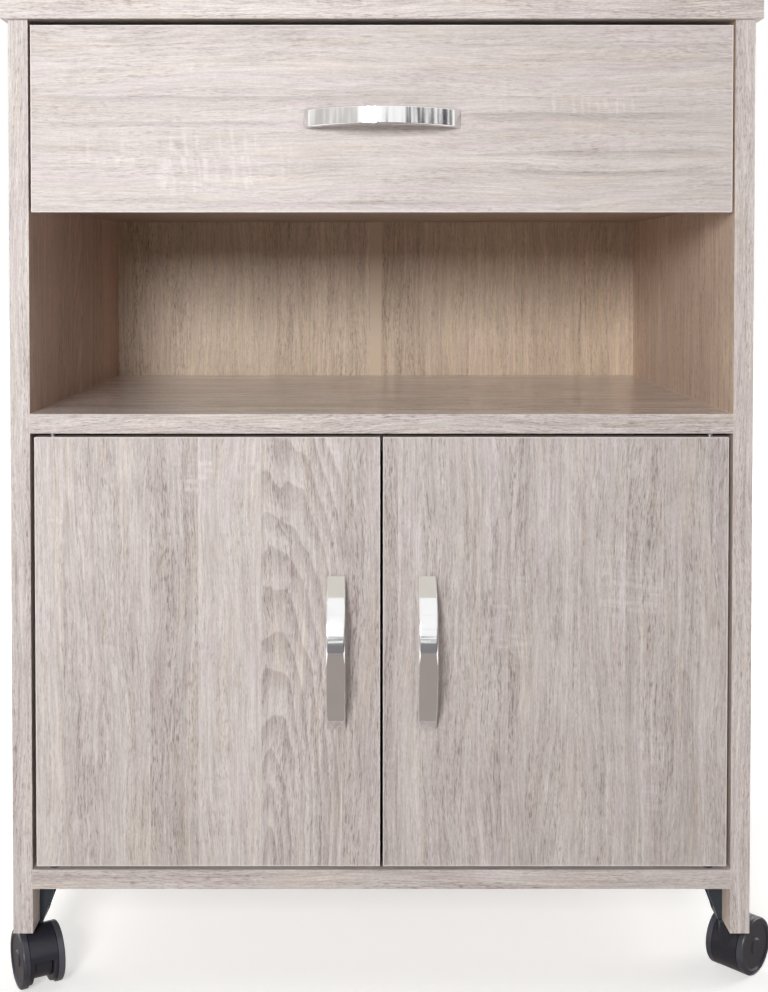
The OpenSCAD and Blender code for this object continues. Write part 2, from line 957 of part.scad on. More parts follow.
module right_door() {
    mirror([1, 0, 0]) left_door();
}

module left_door_pins() {
    color(steel) left_pins(0);
}

module right_door_pins() {
    mirror([1, 0, 0]) left_door_pins();
}

module left_strike_plate() {
    x = -plate_x - door_mid_gap / 2;
    z = door_z + door_h - plate_h / 2 - 1;
    color(zinc) difference() {
        board([x - plate_w / 2, panel_back_y, z - plate_h / 2],
            [x + plate_w / 2, panel_back_y + plate_t, z + plate_h / 2]);
        left_plate_screw(hole_play);
    }
}

module right_strike_plate() {
    mirror([1, 0, 0]) left_strike_plate();
}

module left_door_screws() {
    color(steel) {
        at_left_door_handle() handle_screws(0);
        left_plate_screw(0);
    }
}

module right_door_screws() {
    mirror([1, 0, 0]) left_door_screws();
}

// --------------------------------------------------------------- the casters
// A caster is drawn with its stem on the Z axis and its axle at y = -trail.

// One wheel on the +X side: a full-size rim outside, and a lower tread under the hood
module wheel() {
    inner = caster_w / 2 - wheel_w;
    rim = caster_w / 2 - rim_w;
    outer = caster_w / 2;
    tread_r = wheel_r - hood_wall - hood_play;
    bore_r = axle_r + run_play;
    round_edge = [for (a = [0 : 15 : 90])
        [wheel_r - rim_round * (1 - cos(a)), outer - rim_round * (1 - sin(a))]];
    color(caster_black)
        translate([0, -trail, axle_z]) rotate([0, 90, 0]) rotate_extrude($fn = 96)
            polygon(concat([[bore_r, inner], [tread_r, inner], [tread_r, rim],
                [wheel_r, rim]], round_edge,
                [[wheel_r - dish_in, outer], [wheel_r - dish_in - 1.5, outer - dish_deep],
                [hub_r + 1.5, outer - dish_deep], [hub_r, outer], [0, outer],
                [0, outer - axle_end + axle_play],
                [bore_r, outer - axle_end + axle_play]]));
}

// Hood over both treads, the web between the wheels and the neck around the stem
module hood() {
    reach = 2 * wheel_r;
    axle = [0, -trail, axle_z];
    wedge = concat([[0, 0]], [for (a = [hood_from : (hood_to - hood_from) / 8 : hood_to])
        [reach * cos(a), reach * sin(a)]]);
    color(caster_black) difference() {
        union() {
            intersection() {
                rod_x(wheel_r, axle - [hood_w / 2, 0, 0], hood_w);
                translate(axle + [-hood_w, 0, 0]) rotate([90, 0, 90])
                    linear_extrude(2 * hood_w) polygon(wedge);
            }
            rod_x(wheel_r - web_low, axle - [web_w / 2, 0, 0], web_w);
            rod_z(neck_r, [0, 0, axle_z], neck_z - axle_z);
        }
        for (x = [web_w / 2, -web_w / 2 - hood_w])
            rod_x(wheel_r - hood_wall, axle + [x, 0, 0], hood_w);
        rod_x(axle_r + hole_play / 2, axle - [hood_w, 0, 0], 2 * hood_w);
        rod_z(stem_r + hole_play / 2, [0, 0, stem_low - stem_end_play], neck_z);
    }
}

// Swivel stem and wheel axle
module caster_pins() {
    axle_l = caster_w - 2 * axle_end;
    color(steel) {
        rod_z(stem_r, [0, 0, stem_low], leg_z + stem_up - stem_low);
        rod_x(axle_r, [-axle_l / 2, -trail, axle_z], axle_l);
    }
}

// The children at one corner: side -1 is left, end -1 is the front
module at_caster(side, end, turn) {
    y = end < 0 ? front_y + stem_in : back_y - stem_in;
    translate([side * mid_x, y, 0]) rotate([0, 0, turn]) children();
}

module front_left_caster() {
    at_caster(-1, -1, caster_turn[0]) children();
}

module front_right_caster() {
    at_caster(1, -1, caster_turn[1]) children();
}

module rear_left_caster() {
    at_caster(-1, 1, caster_turn[2]) children();
}

module rear_right_caster() {
    at_caster(1, 1, caster_turn[3]) children();
}

module other_wheel() {
    mirror([1, 0, 0]) wheel();
}

// ------------------------------------------------------------------ the nodes

top_panel();
left_side_panel();
right_side_panel();
bottom_panel();
middle_shelf();
drawer_deck();
inner_shelf();
back_sheet_left();
back_sheet_right();
back_joint_strip();
shelf_pins();
carcass_screws();
screw_caps();
cam_locks();
wood_dowels();
back_nails();
cabinet_runners();
magnetic_catch();
catch_magnets();
pivot_bushes();
corner_brackets();
caster_sleeves();
mounting_screws();
cabinet_rollers();
drawer_front();
drawer_left_side();
drawer_right_side();
drawer_back();
drawer_floor();
drawer_runners();
drawer_handle();
drawer_cams();
drawer_screws();
drawer_rollers();
left_door();
left_door_handle();
left_door_pins();
left_strike_plate();
left_door_screws();
right_door();
right_door_handle();
right_door_pins();
right_strike_plate();
right_door_screws();
front_left_caster() hood();  // front_left_hood
front_left_caster() caster_pins();  // front_left_pins
front_left_caster() wheel();  // front_left_wheel_a
front_left_caster() other_wheel();  // front_left_wheel_b
front_right_caster() hood();  // front_right_hood
front_right_caster() caster_pins();  // front_right_pins
front_right_caster() wheel();  // front_right_wheel_a
front_right_caster() other_wheel();  // front_right_wheel_b
rear_left_caster() hood();  // rear_left_hood
rear_left_caster() caster_pins();  // rear_left_pins
rear_left_caster() wheel();  // rear_left_wheel_a
rear_left_caster() other_wheel();  // rear_left_wheel_b
rear_right_caster() hood();  // rear_right_hood
rear_right_caster() caster_pins();  // rear_right_pins
rear_right_caster() wheel();  // rear_right_wheel_a
rear_right_caster() other_wheel();  // rear_right_wheel_b
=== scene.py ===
import math
import random
from collections import namedtuple
from dataclasses import dataclass

import bmesh
import bpy
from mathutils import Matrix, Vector


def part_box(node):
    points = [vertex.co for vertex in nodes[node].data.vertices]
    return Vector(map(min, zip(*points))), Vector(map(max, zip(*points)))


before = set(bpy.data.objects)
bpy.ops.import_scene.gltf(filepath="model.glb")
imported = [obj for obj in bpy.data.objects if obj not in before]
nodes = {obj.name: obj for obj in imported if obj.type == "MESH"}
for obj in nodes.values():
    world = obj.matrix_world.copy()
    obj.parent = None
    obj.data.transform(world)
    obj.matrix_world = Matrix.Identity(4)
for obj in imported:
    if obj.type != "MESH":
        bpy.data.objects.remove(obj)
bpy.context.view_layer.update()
scene = bpy.context.scene

X, Y, Z = 0, 1, 2
MM = 1000.0                     # millimetres in a metre
WHITE = (1.0, 1.0, 1.0, 1.0)
MIDDLE = 0.5                    # of the range 0 to 1: a noise's mean, and a bar that separates yes from no
MIX_A, MIX_B, MIX_RESULT = 6, 7, 2      # the colour sockets of a Mix node

# ------------------------------------------------------------------ shader terms
# A Term is a value in a material's node tree. Arithmetic on it adds Math nodes.


class Term:
    def __init__(self, graph, socket):
        self.graph, self.socket = graph, socket

    def __add__(self, other):
        return self.graph.math("ADD", self, other)

    def __sub__(self, other):
        return self.graph.math("SUBTRACT", self, other)

    def __rsub__(self, other):
        return self.graph.math("SUBTRACT", other, self)

    def __mul__(self, other):
        return self.graph.math("MULTIPLY", self, other)

    def __truediv__(self, other):
        return self.graph.math("DIVIDE", self, other)

    def over(self, edge):
        return self.graph.math("GREATER_THAN", self, edge)


class Graph:
    """A node tree and the few kinds of node that this scene's materials are made of."""

    def __init__(self, tree):
        self.nodes, self.links = tree.nodes, tree.links

    def put(self, socket, value):
        """Link a Term to a socket, or write a plain value on it."""
        if isinstance(value, Term):
            self.links.new(value.socket, socket)
        else:
            socket.default_value = value

    def math(self, operation, *values, clamp=False):
        n = self.nodes.new("ShaderNodeMath")
        n.operation, n.use_clamp = operation, clamp
        for socket, value in zip(n.inputs, values):
            self.put(socket, value)
        return Term(self, n.outputs[0])

    def smaller(self, a, b):
        return self.math("MINIMUM", a, b)

    def larger(self, a, b):
        return self.math("MAXIMUM", a, b)

    def size(self, value):
        return self.math("ABSOLUTE", value)

    def vector(self, x, y, z):
        n = self.nodes.new("ShaderNodeCombineXYZ")
        for socket, value in zip(n.inputs, (x, y, z)):
            self.put(socket, value)
        return Term(self, n.outputs[0])

    def parts(self, vector):
        n = self.nodes.new("ShaderNodeSeparateXYZ")
        self.put(n.inputs[0], vector)
        return [Term(self, o) for o in n.outputs]

    def noise(self, vector, detail=2.0, roughness=0.5):
        n = self.nodes.new("ShaderNodeTexNoise")
        self.put(n.inputs["Vector"], vector)
        n.inputs["Scale"].default_value = 1.0
        n.inputs["Detail"].default_value = detail
        n.inputs["Roughness"].default_value = roughness
        return Term(self, n.outputs["Fac"])

    def grain(self, place, mm, detail, roughness=0.5):
        """Noise whose size is mm, one number or one for each axis, at a place in mm."""
        sizes = mm if isinstance(mm, tuple) else (mm, mm, mm)
        return self.noise(self.vector(*[p / size for p, size in zip(place, sizes)]), detail, roughness)

    def ease(self, value, low, high, to_low=0.0, to_high=1.0):
        """A smooth step from to_low, at low, to to_high, at high."""
        n = self.nodes.new("ShaderNodeMapRange")
        n.interpolation_type = "SMOOTHSTEP"
        for socket, v in zip(n.inputs, (value, low, high, to_low, to_high)):
            self.put(socket, v)
        return Term(self, n.outputs[0])

    def ramp(self, value, stops, constant=True):
        """The colour of the stop that value has reached, or with constant off a blend of two stops."""
        n = self.nodes.new("ShaderNodeValToRGB")
        self.put(n.inputs[0], value)
        n.color_ramp.interpolation = "CONSTANT" if constant else "LINEAR"
        elements = n.color_ramp.elements
        while len(elements) < len(stops):
            elements.new(MIDDLE)
        for element, (at, colour) in zip(elements, stops):
            element.position = at
            element.color = (*colour, 1.0)
        return Term(self, n.outputs["Color"])

    def blend(self, share, a, b, mode="MIX"):
        n = self.nodes.new("ShaderNodeMix")
        n.data_type, n.blend_type = "RGBA", mode
        self.put(n.inputs[0], share)
        self.put(n.inputs[MIX_A], a)
        self.put(n.inputs[MIX_B], b)
        return Term(self, n.outputs[MIX_RESULT])

    def scaled(self, colour, value):
        n = self.nodes.new("ShaderNodeVectorMath")
        n.operation = "SCALE"
        self.put(n.inputs[0], colour if isinstance(colour, Term) else colour[:3])
        self.put(n.inputs["Scale"], value)
        return Term(self, n.outputs[0])

    def bump(self, height, distance, strength):
        n = self.nodes.new("ShaderNodeBump")
        n.inputs["Strength"].default_value = strength
        n.inputs["Distance"].default_value = distance
        self.put(n.inputs["Height"], height)
        return Term(self, n.outputs["Normal"])

    def coords(self, which="Object"):
        return Term(self, self.nodes.new("ShaderNodeTexCoord").outputs[which])

    def seen(self):
        """1 on rays from the camera, a mirror or glass, 0 on the rays that light the object."""
        path = self.nodes.new("ShaderNodeLightPath")
        camera, glossy, through = [Term(self, path.outputs[key]) for key in (
            "Is Camera Ray", "Is Glossy Ray", "Is Transmission Ray")]
        return self.larger(camera, self.larger(glossy, through))


def rgb(r, g, b, a=1.0):
    """A screen colour, 0 to 255, as the linear colour of a socket, by the sRGB curve."""
    return (*[((c / 255 + 0.055) / 1.055) ** 2.4 if c > 10.31 else c / 3294.6 for c in (r, g, b)], a)


def material(name, **sockets):
    """A new material with its Principled shader's plain values set, as (material, graph, shader)."""
    m = bpy.data.materials.new(name)
    m.use_nodes = True
    shader = m.node_tree.nodes["Principled BSDF"]
    for key, value in sockets.items():
        shader.inputs[key.replace("_", " ")].default_value = value
    return m, Graph(m.node_tree), shader


def dress(m, *names):
    """Give the named nodes one material."""
    for name in names:
        data = nodes[name].data
        data.materials.clear()
        data.materials.append(m)


# ------------------------------------------------------------- the wood print
# One node group draws the printed oak. U is millimetres along the grain, V across it.
# A Layer is one noise of the print: its size along and across the grain in mm, an offset that sets
# it apart from the others, its detail and roughness, and its share in the result. A Layer that is
# used as a mask also has the two noise values between which the mask rises from 0 to 1.
Layer = namedtuple("Layer", "along across offset detail roughness share rise", defaults=(None,))
DRIFT = Layer(230.0, 60.0, 0.0, 1.0, 0.5, 26.0)         # slow bends of the grain, share in mm
RIPPLE = Layer(34.0, 15.0, 4.0, 2.0, 0.5, 2.4)          # short bends, share in mm
FINE = Layer(16.0, 0.85, 9.0, 2.0, 0.6, 0.80)
MID = Layer(70.0, 2.4, 13.0, 2.0, 0.6, 0.85)
BROAD = Layer(300.0, 9.0, 17.0, 2.0, 0.5, 0.55)
PATCH = Layer(60.0, 28.0, 21.0, 3.0, 0.5, 0.30)
FLECK = Layer(3.0, 1.1, 22.0, 2.0, 0.5, 0.50)
LINES = Layer(170.0, 7.5, 23.0, 1.0, 0.5, 0.20)         # thin dark lines
LINE_PLACES = Layer(70.0, 22.0, 25.0, 1.0, 0.5, 1.0, (0.42, 0.62))
RING_WAVER = Layer(60.0, 18.0, 27.0, 1.0, 0.5, 1.3)     # share in rings
PORES = Layer(7.5, 0.80, 31.0, 1.0, 0.5, 0.36, (0.50, 0.68))
PORE_PLACES = Layer(110.0, 8.0, 35.0, 2.0, 0.5, 1.0, (0.36, 0.62))
SAW_BARS = Layer(3.9, 32.0, 41.0, 1.0, 0.5, 0.17, (0.44, 0.70))
SAW_PLACES = Layer(42.0, 24.0, 45.0, 1.0, 0.5, 0.4, (0.60, 0.72))
SAW_FRAY = Layer(16.0, 12.0, 3.0, 2.0, 0.5, 16.0)       # the frayed edge of a patch, share in mm
HUES = Layer(110.0, 11.0, 51.0, 2.0, 0.5, 1.0, (0.3, 0.7))
LINE_WIDTH = 0.022      # how far from its middle value the noise LINES still draws a line
RING_MM = 6.4           # from one year's ring to the next
RING_RISE = 0.2         # how fast the rings close towards the top of an arch
RING_DARK = 0.26        # how dark the late wood is
RING_DARKENS, RING_CLEARS = (0.12, 0.9), (0.93, 1.0)    # shares of a ring, from the early wood on
LATE_WOOD_MEAN = 0.42   # the mean darkness of a ring
PORE_FLOOR = 0.15       # pores that are left where PORE_PLACES has none
PALE_PORES = 0.9        # how much weaker pores are in a paler strip
SAW_SLANT = 0.07        # how far a saw mark leans
SAW_SHAKE, SAW_SHAKE_MM = 1.4, 9.0      # how far it shakes, and over what length
PRINT_MIDDLE = 0.62     # the print's mean place between its dark and light colours
FINE_RELIEF, MID_RELIEF, PORE_RELIEF = 0.6, 0.5, 0.5    # shares in the print's relief
# faint hues of the print, as factors on its colour
TINTS = [(0.0, (1.0, 0.98, 0.995)), (0.35, (1.0, 1.0, 1.0)), (0.65, (0.99, 0.995, 0.985)),
         (1.0, (1.015, 1.0, 0.955))]
PRINT_INPUTS = {"U": 0.0, "V": 0.0, "Seed": 0.0, "Tone": 0.0, "Arches": 0.0, "Axis": 0.0,
                "Start": 0.0, "Ticks": 0.0, "Contrast": 1.0}
PRINT_COLOURS = ("Light", "Dark")


def layer(g, kind, u, v, seed):
    """The noise of one Layer."""
    place = g.vector(u / kind.along, v / kind.across, seed + kind.offset)
    return g.noise(place, kind.detail, kind.roughness)


def mask(g, kind, u, v, seed):
    """The noise of a Layer as soft patches of 1 on 0."""
    return g.ease(layer(g, kind, u, v, seed), *kind.rise)


def arch_band(g, u, v, across, seed, axis, start):
    """Rings of a log cut along its side: nested arches, dark at their late wood."""
    rise = (u - start) * RING_RISE
    ring = g.math("SQRT", (across - axis) * (across - axis) + rise * rise) / RING_MM
    ring = ring + (layer(g, RING_WAVER, u, v, seed) - MIDDLE) * RING_WAVER.share
    late = g.math("FRACT", ring)
    return g.ease(late, *RING_DARKENS) - g.ease(late, *RING_CLEARS) - LATE_WOOD_MEAN


def saw_bars(g, u, v, seed):
    """Pale bars across the grain, left by the saw."""
    shake = (g.noise(g.vector(v / SAW_SHAKE_MM, seed, 0.0), detail=1.0) - MIDDLE) * SAW_SHAKE
    return mask(g, SAW_BARS, u + v * SAW_SLANT + shake, v, seed)


def wood_group():
    """The node group of the print: its colour and its relief."""
    tree = bpy.data.node_groups.new("oak_print", "ShaderNodeTree")
    face = tree.interface
    for name, value in PRINT_INPUTS.items():
        face.new_socket(name, in_out="INPUT", socket_type="NodeSocketFloat").default_value = value
    for name in PRINT_COLOURS:
        face.new_socket(name, in_out="INPUT", socket_type="NodeSocketColor")
    face.new_socket("Color", in_out="OUTPUT", socket_type="NodeSocketColor")
    face.new_socket("Height", in_out="OUTPUT", socket_type="NodeSocketFloat")
    g = Graph(tree)
    inside = tree.nodes.new("NodeGroupInput")
    u, v, seed, tone, arches, axis, start, ticks, contrast, light, dark = [
        Term(g, o) for o in inside.outputs[:len(PRINT_INPUTS) + len(PRINT_COLOURS)]]

    bends = [(layer(g, k, u, v, seed) - MIDDLE) * k.share for k in (DRIFT, RIPPLE)]
    across = v + bends[0] + bends[1]
    fine, mid, broad = [layer(g, k, u, across, seed) - MIDDLE for k in (FINE, MID, BROAD)]
    patch, fleck = [layer(g, k, u, v, seed) - MIDDLE for k in (PATCH, FLECK)]

    # thin dark lines follow the grain where one slow noise passes its middle value
    line = 1.0 - g.ease(g.size(layer(g, LINES, u, across, seed) - MIDDLE), 0.0, LINE_WIDTH)
    line = line * mask(g, LINE_PLACES, u, v, seed)
    pores = mask(g, PORES, u, across, seed) * (mask(g, PORE_PLACES, u, across, seed) + PORE_FLOOR)

    depth = (fine * FINE.share + fleck * FLECK.share + mid * MID.share + broad * BROAD.share
             + patch * PATCH.share - line * LINES.share - pores * (PORES.share - tone * PALE_PORES))
    band = arch_band(g, u, v, across, seed, axis, start) * arches
    saw = saw_bars(g, u, v, seed) * ticks
    value = depth * contrast + tone - band * RING_DARK + saw * SAW_BARS.share
    colour = g.blend(g.math("ADD", value, PRINT_MIDDLE, clamp=True), dark, light)
    tint = g.ramp(mask(g, HUES, u, across, seed), TINTS, constant=False)

    outside = tree.nodes.new("NodeGroupOutput")
    g.put(outside.inputs["Color"], g.blend(1.0, colour, tint, "MULTIPLY"))
    g.put(outside.inputs["Height"], fine * FINE_RELIEF + mid * MID_RELIEF - pores * PORE_RELIEF)
    return tree


WOOD = wood_group()
OAK_LIGHT, OAK_DARK = rgb(237, 228, 225), rgb(156, 140, 135)
SHEET_LIGHT, SHEET_DARK = rgb(241, 220, 197), rgb(158, 135, 114)
# the colour of the painted highlight on the edge strip's rounded rim
RIM_HIGHLIGHT = rgb(246, 240, 236)
RIM_HIGHLIGHT_SHARE = 0.495               # how much of the rim's painted highlight shows
RIM_HIGHLIGHT_INSET = (0.5, 1.1)          # mm from a board's outline where the rim's painted highlight fades out
PRINT_BUMP = (0.00012, 0.5)     # the print's depth in m, and its strength
HOLLOW_ROUGHNESS = 0.10         # how much rougher the print's hollows are
FACING = 0.7                    # a face looks along an axis if that part of its normal is larger
EDGE_SHIFT = 37.0               # mm that sets the print of the edges apart from the faces'
SEED_STEP = 3                   # the noise seed's step from board to board
PHASE_SPAN, PHASE_STEP, PHASE_OF_SEED = 60.0, 0.37, 0.11    # what sets strip apart from strip
STRIP_MM = 95                   # the usual width of one printed strip
STRIP_WIDTHS = (0.75, 1.25)     # the narrowest and the widest, before they are scaled to the board
STRIP_TONE = 0.13               # how far a strip's tone may be from the mean
ARCHED_STRIPS = 0.3             # the share of strips that show arches
ARCHED, PLAIN = 0.8, 0.12       # how strong the arches are in those, and in the others
ARCH_AXES, ARCH_STARTS = (0.2, 0.8), (0.1, 0.9)     # shares of a board's width and length
TICK_EDGE = (-3.0, 6.0)         # mm over which a patch of saw marks fades in
MARK_BEND_MM, MARK_OFFSET = 70.0, 2.0       # a dark line's bends along the grain
MARK_FRONT = 0.5                # mm over which its sharp side rises
MARK_BACK = 0.3                 # the share of its width from which its soft side falls
MARK_ENDS = (20.0, 90.0)        # mm over which its two ends fade
MARK_BREAKS_MM = (9.0, 1.2)     # the size of its breaks along and across the grain
RAW_BOARD = rgb(176, 155, 132)  # bare hardboard
RAW_FIBRE_MM, RAW_CLOUD_MM, RAW_CHIPS_MM = 0.9, 60.0, (4.5, 2.2)
RAW_BASE, RAW_FIBRE, RAW_CLOUD, RAW_CHIPS = 0.74, 0.34, 0.26, 0.12      # shares of its tone
RAW_CHIPS_RISE = (0.56, 0.70)   # the noise values between which a chip darkens
RAW_RELIEF = 1.6                # how much the fibres stand out
BAY_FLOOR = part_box("middle_shelf")[0][Z] * MM
CUPBOARD_PAINTED_LIGHT = 0.35          # the share of the bay's painted light and shade that the cupboard's walls have


@dataclass
class Board:
    grain: int                  # the axis that the print runs along
    seed: int
    strips: tuple = None        # see strips_for
    ticks: tuple = ()           # saw marks: from, to along the grain, from, to across it, strength
    marks: tuple = ()           # dark lines: from, to along the grain, place, sway, width, strength
    light: tuple = OAK_LIGHT
    dark: tuple = OAK_DARK
    contrast: float = 1.0
    shade: float = 1.0          # painted shade: a factor on both colours, lower on boards that less light falls on
    gloss: float = 0.46         # roughness
    polish: float = None        # roughness of the upper face, where it differs
    painted_bay_light: tuple = None          # (axis, side, tint): painted light and shade, a tint on the face that is turned to the bay
    raw: bool = False           # bare hardboard on the rear face


def strips_for(seed, count):
    """Printed strips across a board: where each ends, its tone, arches, arch axis and start."""
    dice = random.Random(seed)
    cuts = sorted(dice.uniform(*STRIP_WIDTHS) for _ in range(count))
    dice.shuffle(cuts)
    total, at, found = sum(cuts), 0.0, []
    for cut in cuts:
        at += cut / total
        arches = ARCHED if dice.random() < ARCHED_STRIPS else PLAIN
        found.append((at, dice.uniform(-STRIP_TONE, STRIP_TONE), arches,
                      dice.uniform(*ARCH_AXES), dice.uniform(*ARCH_STARTS)))
    return found


class Laminate:
    """The printed laminate of one board, a painted highlight on its edge strip's rim, and what sets its
    faces apart.
    """

    def __init__(self, name, node, board):
        self.board = board
        self.lo, self.hi = [Vector(c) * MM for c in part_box(node)]
        size = self.hi - self.lo
        self.thin = min(range(3), key=lambda k: size[k])
        self.cross = X + Y + Z - self.thin - board.grain        # the axis that is left
        self.material, self.g, self.shader = material(name)
        g = self.g
        self.xyz = [p * MM for p in g.parts(g.coords())]
        self.normal = g.parts(g.coords("Normal"))
        self.lay_out()
        colour, height = self.printed()
        for mark in board.marks:
            colour = self.with_mark(colour, *mark)
        # a painted highlight along the board's rim
        colour = self.with_rim_highlight(colour)
        # painted light and shade on the faces that are turned to the bay
        if board.painted_bay_light:
            colour = self.with_painted_bay_light(colour, *board.painted_bay_light)
        if board.raw:
            colour, height = self.bare_behind(colour, height)
        g.put(self.shader.inputs["Base Color"], colour)
        g.put(self.shader.inputs["Roughness"], self.roughness(height))
        g.put(self.shader.inputs["Normal"], g.bump(height, *PRINT_BUMP))

    def lay_out(self):
        """U and V: across the grain on the faces, through the board's thickness on its edges."""
        g, grain = self.g, self.board.grain
        facing = [g.size(p).over(FACING) for p in self.normal]
        on_edge = g.larger(facing[self.cross], facing[grain])
        along, across, through = self.xyz[grain], self.xyz[self.cross], self.xyz[self.thin]
        self.u = along + (across - along) * facing[grain]
        self.v = across + (through + EDGE_SHIFT - across) * on_edge
        self.face_on = 1.0 - on_edge

    def printed(self):
        """The print's colour and relief, from the node group with each strip's own values."""
        g, board, grain, cross = self.g, self.board, self.board.grain, self.cross
        width, length = self.hi[cross] - self.lo[cross], self.hi[grain] - self.lo[grain]
        strips = board.strips or strips_for(board.seed, max(2, round(width / STRIP_MM)))
        starts = [0.0] + [s[0] for s in strips[:-1]]
        place = g.math("DIVIDE", self.xyz[cross] - self.lo[cross], width, clamp=True)
        # two ramps carry each strip's values: (tone, arches, axis) and (phase, start)
        tone, arches, axis = g.parts(g.ramp(place, [
            (at, (MIDDLE + s[1], s[2], s[3])) for at, s in zip(starts, strips)]))
        phase, start, _ = g.parts(g.ramp(place, [
            (at, ((k * PHASE_STEP + board.seed * PHASE_OF_SEED) % 1.0, s[4], 0.0))
            for k, (at, s) in enumerate(zip(starts, strips))]))
        group = g.nodes.new("ShaderNodeGroup")
        group.node_tree = WOOD
        for key, value in {
                "U": self.u, "V": self.v,
                "Seed": phase * PHASE_SPAN * self.face_on + float(board.seed * SEED_STEP),
                "Tone": (tone - MIDDLE) * self.face_on, "Arches": arches * self.face_on,
                "Axis": axis * width + self.lo[cross], "Start": start * length + self.lo[grain],
                "Ticks": self.tick_field() * self.face_on, "Contrast": board.contrast,
                # the board's painted shade darkens both colours
                "Light": tuple(c * board.shade for c in board.light[:3]) + (1.0,),
                "Dark": tuple(c * board.shade for c in board.dark[:3]) + (1.0,)}.items():
            g.put(group.inputs[key], value)
        return Term(g, group.outputs["Color"]), Term(g, group.outputs["Height"])

    def tick_field(self):
        """Where the saw's marks show: in scattered patches, and where the board's ticks say."""
        g, seed = self.g, float(self.board.seed)
        along, across = self.xyz[self.board.grain], self.xyz[self.cross]
        field = mask(g, SAW_PLACES, along, across, seed) * SAW_PLACES.share
        fray = (layer(g, SAW_FRAY, along, across, seed) - MIDDLE) * SAW_FRAY.share
        for u0, u1, v0, v1, strength in self.board.ticks:
            inside_u = g.smaller(self.u - u0, u1 - self.u) + fray
            inside_v = g.smaller(self.v - v0, v1 - self.v) + fray
            field = field + g.ease(g.smaller(inside_u, inside_v), *TICK_EDGE) * strength
        return field

    def with_mark(self, colour, u0, u1, at, sway, thick, strength):
        """A single darker line that wanders along the grain."""
        g, u, v = self.g, self.u, self.v
        bend = g.noise(g.vector(u / MARK_BEND_MM, at, MARK_OFFSET)) - MIDDLE
        below = bend * sway + at - v
        near = g.ease(below, 0.0, MARK_FRONT) - g.ease(below, thick * MARK_BACK, thick)
        ends = g.ease(u, u0, u0 + MARK_ENDS[0]) - g.ease(u, u1 - MARK_ENDS[1], u1)
        breaks = g.noise(g.vector(u / MARK_BREAKS_MM[0], v / MARK_BREAKS_MM[1], at)) + MIDDLE
        return g.scaled(colour, 1.0 - near * ends * breaks * strength * self.face_on)

    def with_rim_highlight(self, colour):
        """A painted highlight on the edge strip's rounded rim, a little lighter than the print."""
        g, rim_highlights = self.g, []
        for k in (self.cross, self.board.grain):
            inset = g.smaller(self.xyz[k] - self.lo[k], self.hi[k] - self.xyz[k])
            rim_highlights.append(1.0 - g.ease(inset, *RIM_HIGHLIGHT_INSET))
        return g.blend(g.larger(*rim_highlights) * self.face_on * RIM_HIGHLIGHT_SHARE, colour, RIM_HIGHLIGHT)

    def with_painted_bay_light(self, colour, axis, side, tint):
        """Painted light and shade on the face that looks to a side of an axis: a tint that lightens,
        darkens or warms it, in full only inside the bay.
        """
        g = self.g
        share = (self.normal[axis] * float(side)).over(MIDDLE)
        in_bay = self.xyz[Z].over(BAY_FLOOR)
        share = share * (in_bay * (1.0 - CUPBOARD_PAINTED_LIGHT) + CUPBOARD_PAINTED_LIGHT)
        return g.blend(share, colour, g.blend(1.0, colour, (*tint, 1.0), "MULTIPLY"))

    def bare_behind(self, colour, height):
        """Bare hardboard on the rear face: fibres, slow clouds and darker chips."""
        g, (x, _, z) = self.g, self.xyz
        fibre = g.grain(self.xyz, RAW_FIBRE_MM, detail=4.0, roughness=0.7)
        cloud = g.grain(self.xyz, RAW_CLOUD_MM, detail=3.0)
        flat = g.vector(x / RAW_CHIPS_MM[0], 0.0, z / RAW_CHIPS_MM[1])
        chips = g.ease(g.noise(flat, detail=3.0, roughness=0.7), *RAW_CHIPS_RISE)
        plain = g.scaled(RAW_BOARD, fibre * RAW_FIBRE + cloud * RAW_CLOUD + RAW_BASE - chips * RAW_CHIPS)
        behind = self.normal[Y].over(MIDDLE)
        return g.blend(behind, colour, plain), height + (fibre * RAW_RELIEF - chips) * behind

    def roughness(self, height):
        rough = self.g.math("MULTIPLY_ADD", height, -HOLLOW_ROUGHNESS, self.board.gloss)
        if self.board.polish is None:
            return rough
        return rough - self.normal[Z].over(MIDDLE) * (self.board.gloss - self.board.polish)


# ----------------------------------------------------------------- the boards
# These stand where the photograph shows such figures. Strips are as in strips_for, in shares of the
# board. Ticks and marks are as in Board, in mm of the shared frame.
LEFT_DOOR_STRIPS = (
    (0.08, 0.10, 0.10, 0.1, 0.2), (0.33, 0.03, 0.15, 0.1, 0.2), (0.47, -0.10, 0.15, 0.45, 0.5),
    (0.655, 0.10, 0.0, 0.6, 0.2), (0.888, -0.03, 1.0, 0.682, -0.6), (1.0, -0.06, 0.15, 0.9, 0.3))
RIGHT_DOOR_STRIPS = (
    (0.04, -0.10, 0.1, 0.1, 0.2), (0.11, 0.10, 0.1, 0.1, 0.2), (0.36, 0.03, 0.15, 0.2, 0.4),
    (0.43, -0.08, 0.3, 0.47, 0.3), (0.70, 0.03, 0.3, 0.5, 0.3), (0.81, -0.03, 0.1, 0.6, 0.2),
    (1.0, 0.0, 0.1, 0.9, 0.3))
DRAWER_STRIPS = (
    (0.30, 0.03, 0.0, 0.1, 0.2), (0.62, 0.0, 0.0, 0.6, 0.1), (0.80, 0.03, 0.0, 0.8, 0.5),
    (1.0, 0.0, 0.0, 0.8, 0.5))
